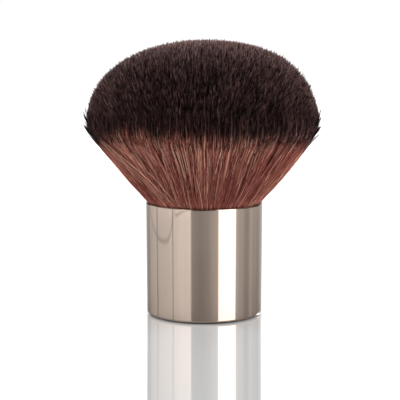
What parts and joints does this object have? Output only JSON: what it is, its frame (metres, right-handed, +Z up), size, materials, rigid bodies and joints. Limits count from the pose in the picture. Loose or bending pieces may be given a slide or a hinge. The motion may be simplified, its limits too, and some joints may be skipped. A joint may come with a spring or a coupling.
{
  "type": "kabuki makeup brush",
  "caption": "Short round face brush: a dense, domed head of bristles in a polished metal handle that stands on its own flat foot.",
  "frame": {"origin": "centre of the foot pad's lower face, on the surface that the brush stands on", "axes": "+Z up along the brush's axis, from the foot to the top of the bristles; the brush is round, so X and Y are free, with -Y towards the viewer"},
  "size_m": [0.0596, 0.0596, 0.0699],
  "materials": {
    "shell_metal": "polished",
    "sleeve_plastic": "satin",
    "glue": "gloss",
    "band_metal": "satin",
    "resin": "gloss",
    "bristle": "matte",
    "slug_steel": "satin",
    "plate_plastic": "satin",
    "tape": "matte",
    "pad_foam": "matte"
  },
  "bodies": {
    "root": {"handle_shell": "shell_metal", "insert_sleeve": "sleeve_plastic", "glue_ring": "glue", "root_band": "band_metal", "potting_resin": "resin", "bristle_bundle": "bristle", "weight_slug": "slug_steel", "weight_glue": "glue", "base_plate": "plate_plastic", "pad_tape": "tape", "base_pad": "pad_foam"}
  },
  "joints": []
}
